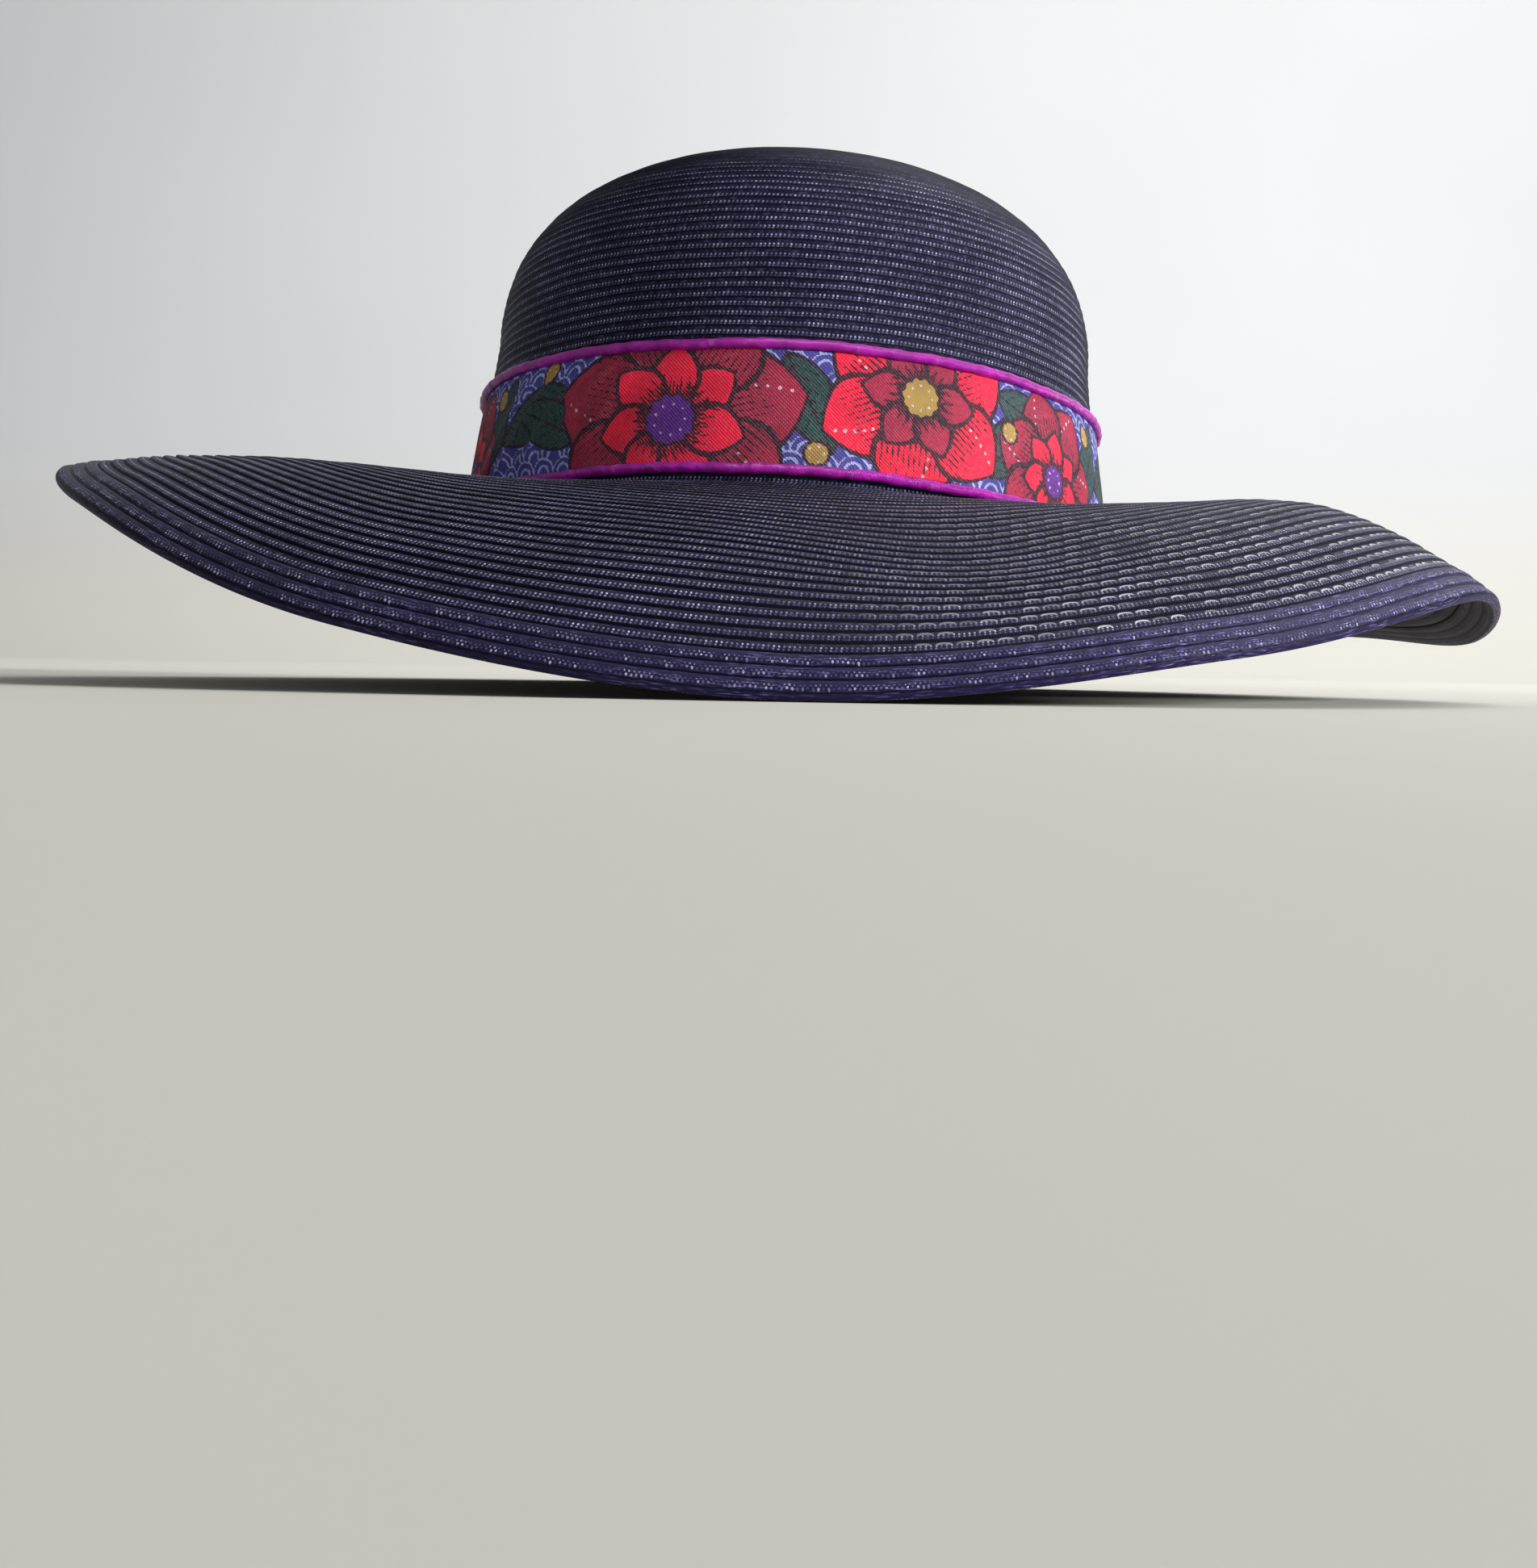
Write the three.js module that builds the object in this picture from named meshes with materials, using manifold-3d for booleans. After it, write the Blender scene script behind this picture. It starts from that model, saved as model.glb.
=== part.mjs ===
// Wide-brim straw hat with a cloth band, standing on the rim of its brim.
// Millimetres, +Z up, the front of the hat facing -Y.
import * as THREE from 'three';
import Module from 'manifold-3d';
import { mergeVertices } from 'three/addons/utils/BufferGeometryUtils.js';

// Crown, measured outside at the line where it meets the brim
const HALF_WIDTH = 86.4;
const HALF_DEPTH = 100.2;
const CROWN_HEIGHT = 101.7;
const WALL_HEIGHT = 48.5;
const WALL_TAPER = 0.117;
const DOME_ROUNDNESS = 2.46;
const STRAW = 2;
const GAP = 0.3;

// Brim, measured along its slope from the crown to the rim
const BRIM_WIDTH = 108;
const EDGE_WIDTH = 11;
const EDGE_EXTRA = 0.3;
const BRIM_BEND = 1.41;

// Slope of the brim below the level at each azimuth, counted from the front towards +X
const BRIM_SLOPES = [
  { azimuth: 0, atCrown: 16.4, atRim: 59.3 },
  { azimuth: 30, atCrown: 3.1, atRim: 53.6 },
  { azimuth: 60, atCrown: -14.2, atRim: 42.3 },
  { azimuth: 90, atCrown: -10.2, atRim: 32.6 },
  { azimuth: 120, atCrown: -11.4, atRim: 16.5 },
  { azimuth: 150, atCrown: -7.2, atRim: 10.3 },
  { azimuth: 180, atCrown: 2.7, atRim: 13.2 },
  { azimuth: 210, atCrown: -1.0, atRim: 10.6 },
  { azimuth: 240, atCrown: -7.5, atRim: 10.0 },
  { azimuth: 270, atCrown: -17.5, atRim: 11.7 },
  { azimuth: 300, atCrown: -10.8, atRim: 30.8 },
  { azimuth: 330, atCrown: 6.6, atRim: 53.2 },
];

// Soft folds of the brim: centre and half size by azimuth and along the slope, and rise
const BRIM_FOLDS = [
  { azimuth: 17, along: 58, halfAzimuth: 13, halfAlong: 26, rise: -4.5 },
  { azimuth: -6, along: 66, halfAzimuth: 14, halfAlong: 30, rise: 2 },
  { azimuth: 62, along: 62, halfAzimuth: 22, halfAlong: 22, rise: 2.5 },
];

// Cloth band and the cords along its two edges, by height above the brim line
const BAND_LOW = 4.6;
const BAND_HIGH = 32.3;
const BAND_CLOTH = 1.5;
const PIPING_RADIUS = 1.3;
const PIPING_LOW = 3.0;
const PIPING_HIGH = 33.9;

// Stance on the surface, and the depth of the seats where the rim bears on it
const REST_PITCH = -6.49;
const REST_ROLL = 2.26;
const SEAT_DEPTH = 0.4;

const AZIMUTH_STEPS = 72;
const DOME_STEPS = 10;
const BRIM_STEPS = 10;
const PIPING_SIDES = 6;
const SLOPE_STEPS = 24;
const RADIANS = Math.PI / 180;

const straw = new THREE.MeshStandardMaterial({ color: 0x1c1c2c, roughness: 0.55, metalness: 0 });
const edgeStraw = new THREE.MeshStandardMaterial({ color: 0x25244a, roughness: 0.45, metalness: 0 });
const cloth = new THREE.MeshStandardMaterial({ color: 0x9a2340, roughness: 0.8, metalness: 0 });
const cord = new THREE.MeshStandardMaterial({ color: 0x8e1486, roughness: 0.6, metalness: 0 });

// Value of a table column at any azimuth, by a smooth curve through its rows
function tableValue(rows, column, azimuth) {
  const place = (azimuth / 360) * rows.length;
  const row = Math.floor(place);
  const t = place - row;
  const at = (offset) => rows[(((row + offset) % rows.length) + rows.length) % rows.length][column];
  const [a, b, c, d] = [at(-1), at(0), at(1), at(2)];
  return 0.5 * (2 * b + (c - a) * t + (2 * a - 5 * b + 4 * c - d) * t * t
    + (3 * b - a - 3 * c + d) * t * t * t);
}

// Point of an upright oval and its outward direction, both level
function ovalPoint(halfWidth, halfDepth, azimuth) {
  const s = Math.sin(azimuth * RADIANS);
  const c = Math.cos(azimuth * RADIANS);
  const point = new THREE.Vector3(halfWidth * s, -halfDepth * c, 0);
  const outward = new THREE.Vector3(s / halfWidth, -c / halfDepth, 0).normalize();
  return { point, outward };
}

// Half width of the crown's outside at a height on its straight wall
function wallHalfWidth(height) {
  return HALF_WIDTH - WALL_TAPER * height;
}

// Point beside the crown's wall, at a height and a distance out from it
function besideWall(azimuth, height, distance) {
  const halfWidth = wallHalfWidth(height);
  const { point, outward } = ovalPoint(halfWidth, HALF_DEPTH * halfWidth / HALF_WIDTH, azimuth);
  return point.addScaledVector(outward, distance).setZ(height);
}

// Height and half width of the crown's section from the brim line up to the top
function crownProfile(inset) {
  const shoulder = wallHalfWidth(WALL_HEIGHT) - inset;
  const domeHeight = CROWN_HEIGHT - WALL_HEIGHT - inset;
  const profile = [{ height: GAP, halfWidth: wallHalfWidth(GAP) - inset }];
  for (let i = 0; i < DOME_STEPS; i += 1) {
    const turn = (i / DOME_STEPS) * Math.PI / 2;
    profile.push({
      height: WALL_HEIGHT + domeHeight * Math.sin(turn) ** (2 / DOME_ROUNDNESS),
      halfWidth: shoulder * Math.cos(turn) ** (2 / DOME_ROUNDNESS),
    });
  }
  profile.push({ height: CROWN_HEIGHT - inset, halfWidth: 0 });
  return profile;
}

// Rise of the brim that its folds add at a place on it
function foldRise(azimuth, along) {
  return BRIM_FOLDS.reduce((rise, fold) => {
    const turn = ((azimuth - fold.azimuth + 540) % 360) - 180;
    const aside = turn / fold.halfAzimuth;
    const off = (along - fold.along) / fold.halfAlong;
    return rise + fold.rise * Math.exp(-aside * aside - off * off);
  }, 0);
}

// Point of the brim's upper surface; along is below 0 under the crown's wall
function brimPoint(azimuth, along) {
  const { point, outward } = ovalPoint(HALF_WIDTH, HALF_DEPTH, azimuth);
  if (along <= 0) {
    return point.addScaledVector(outward, along);
  }
  const first = tableValue(BRIM_SLOPES, 'atCrown', azimuth) * RADIANS;
  const last = tableValue(BRIM_SLOPES, 'atRim', azimuth) * RADIANS;
  const step = along / SLOPE_STEPS;
  let out = 0;
  let drop = 0;
  for (let i = 0; i < SLOPE_STEPS; i += 1) {
    const share = (i + 0.5) * step / BRIM_WIDTH;
    const slope = first + (last - first) * share ** BRIM_BEND;
    out += step * Math.cos(slope);
    drop += step * Math.sin(slope);
  }
  const rise = foldRise(azimuth, along) * Math.min(1, along / EDGE_WIDTH);
  return point.addScaledVector(outward, out).setZ(rise - drop);
}

// Point below the brim's upper surface, measured square to it
function underBrim(azimuth, along, depth) {
  const reach = 1;
  const aside = brimPoint(azimuth + reach, along).sub(brimPoint(azimuth - reach, along));
  const outwards = brimPoint(azimuth, along + reach).sub(brimPoint(azimuth, along));
  const up = new THREE.Vector3().crossVectors(outwards, aside).normalize();
  return brimPoint(azimuth, along).addScaledVector(up, -depth);
}

// Closed body from a section carried once round the hat; the section's points run
// clockwise when seen with the outside of the hat to the right, and an open section
// starts and ends on the axis
function carriedRound(sectionAt, closed) {
  const rings = [];
  for (let i = 0; i < AZIMUTH_STEPS; i += 1) {
    rings.push(sectionAt((i / AZIMUTH_STEPS) * 360));
  }
  const count = rings[0].length;
  const corners = [];
  for (let i = 0; i < AZIMUTH_STEPS; i += 1) {
    const here = rings[i];
    const next = rings[(i + 1) % AZIMUTH_STEPS];
    for (let j = 0; j < (closed ? count : count - 1); j += 1) {
      const k = (j + 1) % count;
      if (here[k].distanceTo(next[k]) > 1e-6) {
        corners.push(here[j], here[k], next[k]);
      }
      if (here[j].distanceTo(next[j]) > 1e-6) {
        corners.push(here[j], next[k], next[j]);
      }
    }
  }
  return new THREE.BufferGeometry().setFromPoints(corners);
}

function crownGeometry() {
  const outside = crownProfile(0).reverse();
  const inside = crownProfile(STRAW);
  const depthOver = HALF_DEPTH / HALF_WIDTH;
  return carriedRound((azimuth) => [
    ...outside.map(({ height, halfWidth }) => (
      ovalPoint(halfWidth, halfWidth * depthOver, azimuth).point.setZ(height))),
    ...inside.map(({ height, halfWidth }) => (
      ovalPoint(halfWidth, halfWidth * depthOver, azimuth).point.setZ(height))),
  ], false);
}

// Sheet of the brim between two distances along its slope
function brimSheet(from, to, steps, above, below) {
  const places = [];
  for (let i = 0; i <= steps; i += 1) {
    places.push(from + (to - from) * (i / steps));
  }
  return (azimuth) => [
    ...places.map((along) => underBrim(azimuth, along, -above)),
    ...places.slice().reverse().map((along) => underBrim(azimuth, along, below)),
  ];
}

function brimGeometry() {
  const sheet = brimSheet(0, BRIM_WIDTH - EDGE_WIDTH - GAP, BRIM_STEPS, 0, STRAW);
  return carriedRound((azimuth) => {
    const collar = brimPoint(azimuth, -STRAW);
    return [collar, ...sheet(azimuth), collar.clone().setZ(-STRAW)];
  }, true);
}

function edgeGeometry() {
  const sheet = brimSheet(BRIM_WIDTH - EDGE_WIDTH, BRIM_WIDTH, 2, EDGE_EXTRA, STRAW + EDGE_EXTRA);
  return carriedRound(sheet, true);
}

function bandGeometry() {
  const middle = (BAND_LOW + BAND_HIGH) / 2;
  const outer = GAP + BAND_CLOTH;
  return carriedRound((azimuth) => [
    besideWall(azimuth, BAND_HIGH, GAP),
    besideWall(azimuth, BAND_HIGH, outer),
    besideWall(azimuth, middle, outer),
    besideWall(azimuth, BAND_LOW, outer),
    besideWall(azimuth, BAND_LOW, GAP),
  ], true);
}

function pipingGeometry(height) {
  return carriedRound((azimuth) => {
    const section = [];
    for (let i = 0; i < PIPING_SIDES; i += 1) {
      const turn = ((i + 0.5) / PIPING_SIDES) * 2 * Math.PI;
      const distance = GAP + PIPING_RADIUS * (1 + Math.sin(turn));
      const beside = besideWall(azimuth, height, distance);
      section.push(beside.setZ(height + PIPING_RADIUS * Math.cos(turn)));
    }
    return section;
  }, true);
}

const wasm = await Module();
wasm.setup();

function toSolid(geometry) {
  const bare = new THREE.BufferGeometry().setAttribute('position', geometry.getAttribute('position'));
  bare.setIndex(geometry.getIndex());
  const merged = mergeVertices(bare);
  return new wasm.Manifold(new wasm.Mesh({
    numProp: 3,
    vertProperties: new Float32Array(merged.attributes.position.array),
    triVerts: new Uint32Array(merged.index.array),
  }));
}

function toGeometry(solid) {
  const mesh = solid.getMesh();
  const geometry = new THREE.BufferGeometry();
  geometry.setAttribute('position', new THREE.BufferAttribute(mesh.vertProperties, 3));
  geometry.setIndex(new THREE.BufferAttribute(mesh.triVerts, 1));
  return geometry;
}

// Turn that brings the hat from its crown upright to its stance
const stance = new THREE.Euler(REST_PITCH * RADIANS, REST_ROLL * RADIANS, 0, 'YXZ');

// Lowest height of a shape once it has the stance
function lowestHeight(geometry) {
  const turned = geometry.clone();
  turned.applyMatrix4(new THREE.Matrix4().makeRotationFromEuler(stance));
  turned.computeBoundingBox();
  return turned.boundingBox.min.z;
}

// Edge with flat seats where it bears on the surface below
function seatedEdge(edge, seatHeight) {
  const below = new THREE.BoxGeometry(6 * HALF_DEPTH, 6 * HALF_DEPTH, CROWN_HEIGHT);
  below.translate(0, 0, seatHeight - CROWN_HEIGHT / 2);
  below.applyMatrix4(new THREE.Matrix4().makeRotationFromEuler(stance).invert());
  return toGeometry(toSolid(edge).subtract(toSolid(below)));
}

const hat = new THREE.Group();

function addPiece(name, geometry, material) {
  geometry.computeVertexNormals();
  const piece = new THREE.Mesh(geometry, material);
  piece.name = name;
  hat.add(piece);
}

const edge = edgeGeometry();
const seatHeight = lowestHeight(edge) + SEAT_DEPTH;

addPiece('crown', crownGeometry(), straw);
addPiece('brim', brimGeometry(), straw);
addPiece('brim_edge', seatedEdge(edge, seatHeight), edgeStraw);
addPiece('hat_band', bandGeometry(), cloth);
addPiece('piping_upper', pipingGeometry(PIPING_HIGH), cord);
addPiece('piping_lower', pipingGeometry(PIPING_LOW), cord);

// Stand the hat on its seats, centred over the origin
hat.rotation.copy(stance);
hat.updateMatrixWorld(true);
const box = new THREE.Box3().setFromObject(hat, true);
hat.position.set(-(box.min.x + box.max.x) / 2, -(box.min.y + box.max.y) / 2, -box.min.z);
hat.updateMatrixWorld(true);

export default hat;
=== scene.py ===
"""Wide-brim straw hat: rows of sewn braid, a printed band with corded edges, and a pale studio."""

import math
from functools import partial, reduce

import bmesh
import bpy
import numpy as np
from bpy.props import FloatProperty, FloatVectorProperty, IntProperty, PointerProperty
from mathutils import Matrix, Vector


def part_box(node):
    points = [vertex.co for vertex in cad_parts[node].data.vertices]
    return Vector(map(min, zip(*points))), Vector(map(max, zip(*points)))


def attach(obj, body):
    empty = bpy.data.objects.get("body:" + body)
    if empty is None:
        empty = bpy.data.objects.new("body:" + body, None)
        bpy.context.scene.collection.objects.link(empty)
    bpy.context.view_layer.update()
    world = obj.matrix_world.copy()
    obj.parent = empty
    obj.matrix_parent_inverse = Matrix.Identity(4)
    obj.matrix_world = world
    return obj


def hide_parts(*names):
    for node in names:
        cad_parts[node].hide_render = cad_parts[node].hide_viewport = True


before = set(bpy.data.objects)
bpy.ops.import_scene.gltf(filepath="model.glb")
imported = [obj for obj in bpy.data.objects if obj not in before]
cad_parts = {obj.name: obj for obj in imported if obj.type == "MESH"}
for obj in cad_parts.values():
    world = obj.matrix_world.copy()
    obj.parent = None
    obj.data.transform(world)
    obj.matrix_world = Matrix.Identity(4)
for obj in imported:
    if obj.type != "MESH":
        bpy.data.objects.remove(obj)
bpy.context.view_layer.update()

bl_info = {
    "name": "Wide-brim straw hat",
    "version": (1, 0, 0),
    "blender": (4, 5, 0),
    "location": "View3D > Sidebar > Straw hat",
    "description": "Makes a sewn braid hat with a printed cloth band",
    "category": "Object",
}

MM = 0.001
TURN = 2 * math.pi

# Crown and brim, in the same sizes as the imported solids
HALF_WIDTH = 86.4 * MM
HALF_DEPTH = 100.2 * MM
DEPTH_SHARE = HALF_DEPTH / HALF_WIDTH
CROWN_HEIGHT = 101.7 * MM
WALL_HEIGHT = 48.5 * MM
WALL_TAPER = 0.117
DOME_ROUNDNESS = 2.46
STRAW = 1.7 * MM
BRIM_WIDTH = 108 * MM
EDGE_WIDTH = 11 * MM
BRIM_BEND = 1.41
GAP = 0.3 * MM

# Slopes below the level at the crown and at the rim, every 30 degrees from the front towards +X
SLOPES_AT_CROWN = np.radians([16.4, 3.1, -14.2, -10.2, -11.4, -7.2, 2.7, -1.0, -7.5, -17.5, -10.8, 6.6])
SLOPES_AT_RIM = np.radians([59.3, 53.6, 42.3, 32.6, 16.5, 10.3, 13.2, 10.6, 10.0, 11.7, 30.8, 53.2])

# Soft folds: azimuth, distance along the slope, half sizes of both, and rise
FOLDS = (
    (17, 58 * MM, 13, 26 * MM, -4.5 * MM),
    (-6, 66 * MM, 14, 30 * MM, 2 * MM),
    (62, 62 * MM, 22, 22 * MM, 2.5 * MM),
)

# Stance: turn about X, then about Y
REST_PITCH = math.radians(-6.49)
REST_ROLL = math.radians(2.26)

# Band and cords, by height above the line where crown and brim meet
BAND_LOW = 4.0 * MM
BAND_HIGH = 32.8 * MM
PIPING_LOW = 3.0 * MM
PIPING_HIGH = 33.9 * MM
PIPING_RADIUS = 1.3 * MM

# Image that the camera is set for, in pixels, its sensor in millimetres, and its shift and roll
IMAGE_WIDTH = 1904
IMAGE_HEIGHT = 1943
SENSOR = 36.0
CAMERA_ASIDE = -2 * MM
CAMERA_ROLL = math.radians(1.0)

# Least height of a point above the floor, and distance under which two points are one
FLOOR_CLEARANCE = 0.02 * MM
SAME_PLACE = 0.001 * MM

# Steps of the sums along the brim's slope, the crown's wall and its dome
SLOPE_STEPS = 432
WALL_STEPS = 39
DOME_STEPS = 399

# Points up the inside of the crown, up the band, along a cord and round it
INSIDE_STATIONS = 40
BAND_STATIONS = 56
CORD_COLUMNS = 720
CORD_STATIONS = 14

# The plain back of the band has one point for so many of its front
BACK_STRIDE = 18

# Rows at the rim, radius of the rim, and where along a row its length is measured
EDGE_ROWS = 3
RIM_RADIUS = 0.9 * MM
ROW_MIDDLE = 0.6

# Colours of details: flecks of the straw, stitches painted pale as a highlight, strands and beads at the
# rim painted as sheen and glints, painted shine of the cords
FLECK = (0.13, 0.12, 0.24)
SEWING_THREAD_GLINT = (0.72, 0.69, 0.80)
EDGE_STRAND_SHEEN = (0.18, 0.15, 0.42)
EDGE_BEAD_GLINT = (0.72, 0.68, 0.92)
CORD_SHINE = (0.85, 0.30, 0.80)

# Inks of the print, and the lit threads and darker blotches of its cloth
PALE_INK = (0.46, 0.53, 0.86)
WHITE_INK = (0.72, 0.62, 0.66)
BLACK_INK = (0.012, 0.010, 0.016)
LIT_THREAD = (0.55, 0.25, 0.33)
BLOTCH = (0.02, 0.012, 0.03)

# Distance from a line of the print that counts as far, in millimetres, and repeats round the hat
FAR = 9.0
REPEATS = 3


def length_setting(name, description, default):
    """Length that a user can change."""
    return FloatProperty(name=name, description=description, default=default, unit="LENGTH")


def colour_setting(name, description, default):
    """Colour that a user can change."""
    return FloatVectorProperty(name=name, description=description, default=default, subtype="COLOR")


class HatSizes(bpy.types.PropertyGroup):
    """Sizes of the braid and of the cloth that a user would change."""

    brim_pitch: length_setting(
        "Brim row", "Width that one row of braid shows on the brim", 3.23 * MM)
    crown_pitch: length_setting(
        "Crown row", "Width that one row of braid shows on the crown", 2.45 * MM)
    row_rise: length_setting(
        "Row rise", "How far a row's outer side stands above its tucked side", 0.6 * MM)
    bead: length_setting("Plait step", "Length of one step of the plait along a row", 1.1 * MM)
    crown_bead: length_setting(
        "Crown plait step", "Length of one step of the plait on the crown", 1.14 * MM)
    brim_columns: IntProperty(
        name="Brim columns", description="Points round the brim", default=360)
    crown_columns: IntProperty(
        name="Crown columns", description="Points round the crown", default=300)
    band_columns: IntProperty(
        name="Band columns", description="Points round the band", default=1200)


class HatColours(bpy.types.PropertyGroup):
    """Colours of the straw, the print and the cords."""

    straw: colour_setting("Straw", "Dyed straw", (0.0130, 0.0108, 0.036))
    # Painted highlight: the bead and underside bead colours stand for the glints of the plait's glossy
    # crossings.
    bead: colour_setting("Bead", "Glossy crossings of the plait", (0.70, 0.72, 0.98))
    underside: colour_setting("Underside", "Straw on the inside", (0.036, 0.033, 0.042))
    underside_bead_glint: colour_setting(
        "Underside bead", "Crossings of the plait on the inside", (0.26, 0.24, 0.30))
    edge: colour_setting("Edge", "Doubled rows at the rim", (0.015, 0.0105, 0.056))
    cord: colour_setting("Cord", "Cords along the band", (0.46, 0.005, 0.41))
    wine: colour_setting("Wine", "Darker blossoms of the print", (0.36, 0.016, 0.052))
    red: colour_setting("Red", "Brighter blossoms of the print", (0.92, 0.010, 0.050))
    ground: colour_setting("Ground", "Blue ground of the print", (0.050, 0.062, 0.33))
    leaf: colour_setting("Leaf", "Leaves of the print", (0.008, 0.075, 0.068))
    violet: colour_setting("Violet", "Hearts of the blossoms", (0.12, 0.022, 0.30))
    gold: colour_setting("Gold", "Buds of the print", (0.42, 0.27, 0.06))


class HatStudio(bpy.types.PropertyGroup):
    """Camera and light."""

    lens_pixels: FloatProperty(
        name="Lens", description="Focal length in pixels of the full image", default=3000.0)
    camera_height: length_setting(
        "Camera height", "Height of the camera above the floor", 8 * MM)
    camera_distance: length_setting(
        "Camera distance", "Level distance from the hat's middle", 677 * MM)
    camera_aim: FloatProperty(
        name="Aim", description="Turn of the camera below the level",
        default=math.radians(2.9), subtype="ANGLE")
    key_power: FloatProperty(
        name="Light", description="Power that all the lights take their shares of", default=31.0)
    floor_colour: colour_setting("Floor", "Pale floor", (0.63, 0.607, 0.545))
    wall_colour: colour_setting("Wall", "Pale backdrop", (0.60, 0.61, 0.62))


def table_value(column, azimuth):
    """Smooth curve through a column's rows, spaced evenly round the hat.

    Between rows b and c the value is the cubic whose slope at each row is half the
    difference of that row's two neighbours.
    """
    place = azimuth / 360.0 * len(column)
    row = np.floor(place).astype(int)
    t = place - row
    a, b, c, d = (column[(row + offset) % len(column)] for offset in (-1, 0, 1, 2))
    return 0.5 * (2 * b + (c - a) * t + (2 * a - 5 * b + 4 * c - d) * t ** 2
                  + (3 * b - a - 3 * c + d) * t ** 3)


def oval(half_width, half_depth, azimuth):
    """Point of an upright oval and its outward direction.

    The point is half_width times the sine and minus half_depth times the cosine of the azimuth.
    """
    s = np.sin(np.radians(azimuth))
    c = np.cos(np.radians(azimuth))
    normal = np.stack([s / half_width, -c / half_depth], -1)
    normal /= np.linalg.norm(normal, axis=-1, keepdims=True)
    return np.stack([half_width * s, -half_depth * c], -1), normal


def brim_surface(azimuth, along):
    """Upper surface of the brim for each azimuth and each distance along the slope.

    The slope turns from its value at the crown to its value at the rim with the share of the
    way raised to BRIM_BEND. Out and down are the sums of its cosine and sine, and each fold
    adds a bell-shaped rise.
    """
    steps = np.linspace(0, BRIM_WIDTH, SLOPE_STEPS + 1)
    middle = (steps[1:] + steps[:-1]) / 2
    first = table_value(SLOPES_AT_CROWN, azimuth)[:, None]
    last = table_value(SLOPES_AT_RIM, azimuth)[:, None]
    slope = first + (last - first) * (middle / BRIM_WIDTH) ** BRIM_BEND
    start = np.zeros((len(azimuth), 1))
    out = np.hstack([start, np.cumsum(np.cos(slope), 1)]) * (steps[1] - steps[0])
    drop = np.hstack([start, np.cumsum(np.sin(slope), 1)]) * (steps[1] - steps[0])
    along = np.broadcast_to(along, (len(azimuth), np.shape(along)[-1]))
    place = np.clip(along, 0, BRIM_WIDTH) / (steps[1] - steps[0])
    low = np.minimum(place.astype(int), len(steps) - 2)
    part = place - low
    reach, height = (
        np.take_along_axis(table, low, 1) * (1 - part) + np.take_along_axis(table, low + 1, 1) * part
        for table in (out, -drop))
    reach = reach + np.minimum(along, 0)
    for centre, distance, half_turn, half_along, rise in FOLDS:
        turn = (azimuth - centre + 540) % 360 - 180
        bell = np.exp(-(turn[:, None] / half_turn) ** 2 - ((along - distance) / half_along) ** 2)
        height += rise * bell * np.clip(along / EDGE_WIDTH, 0, 1)
    foot, outward = oval(HALF_WIDTH, HALF_DEPTH, azimuth)
    flat = foot[:, None] + outward[:, None] * reach[..., None]
    return np.concatenate([flat, height[..., None]], -1)


def crown_surface(azimuth, way, inset):
    """Surface of the crown for each azimuth and each share of the way from foot to top.

    A wall that leans in by WALL_TAPER, then a dome whose half width and height are powers of
    the cosine and sine of a quarter turn. Shares are even in length along the section.
    """
    shoulder = HALF_WIDTH - WALL_TAPER * WALL_HEIGHT - inset
    dome = CROWN_HEIGHT - WALL_HEIGHT - inset
    foot = np.linspace(0, 1, WALL_STEPS + 1)[:-1]
    turn = np.linspace(0, math.pi / 2, DOME_STEPS + 1)
    power = 2 / DOME_ROUNDNESS
    height = np.concatenate([WALL_HEIGHT * foot, WALL_HEIGHT + dome * np.sin(turn) ** power])
    width = np.concatenate([
        HALF_WIDTH - WALL_TAPER * WALL_HEIGHT * foot - inset, shoulder * np.cos(turn) ** power])
    length = np.concatenate([[0], np.cumsum(np.hypot(np.diff(height), np.diff(width)))])
    z = np.interp(way * length[-1], length, height)
    half_width = np.interp(way * length[-1], length, width)
    s = np.sin(np.radians(azimuth))[:, None]
    c = np.cos(np.radians(azimuth))[:, None]
    return np.stack([half_width * s, -half_width * DEPTH_SHARE * c, z + 0 * s], -1), length[-1]


def beside_wall(azimuth, height, distance):
    """Point at a height, and a distance out from the crown's leaning wall, for whole arrays."""
    half_width = HALF_WIDTH - WALL_TAPER * height
    foot, outward = oval(half_width, half_width * DEPTH_SHARE, azimuth)
    flat = foot + outward * np.asarray(distance)[..., None]
    return np.concatenate([flat, height[..., None]], -1)


def grid_normals(points):
    """Unit normals of a grid that closes round its first axis, from differences of neighbours."""
    round_way = np.roll(points, -1, 0) - np.roll(points, 1, 0)
    out_way = np.gradient(points, axis=1)
    normal = np.cross(out_way, round_way)
    size = np.linalg.norm(normal, axis=-1, keepdims=True)
    return normal / np.maximum(size, 1e-12)


def lifted(points, relief):
    """Grid of points moved out along its normals by a relief, which may be below 0."""
    return points + grid_normals(points) * np.broadcast_to(relief, points.shape[:2])[..., None]


def stance_matrix():
    """Turn of the crown's own frame into the stance."""
    return Matrix.Rotation(REST_ROLL, 3, "Y") @ Matrix.Rotation(REST_PITCH, 3, "X")


def hat_place():
    """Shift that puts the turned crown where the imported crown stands, by their boxes' middles."""
    azimuth = np.arange(0, 360, 5.0)
    points, _ = crown_surface(azimuth, np.linspace(0, 1, 120), 0)
    turned = points.reshape(-1, 3) @ np.array(stance_matrix()).T
    low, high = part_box("crown")
    middle = (np.array(low) + np.array(high)) / 2
    return middle - (turned.min(0) + turned.max(0)) / 2


PLACE = hat_place()


def put(points):
    """Points of the crown's own frame, turned into the stance and set in place."""
    return points @ np.array(stance_matrix()).T + PLACE


def add_object(name, data):
    """New object of the scene that shows the data."""
    item = bpy.data.objects.new(name, data)
    bpy.context.scene.collection.objects.link(item)
    return item


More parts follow.
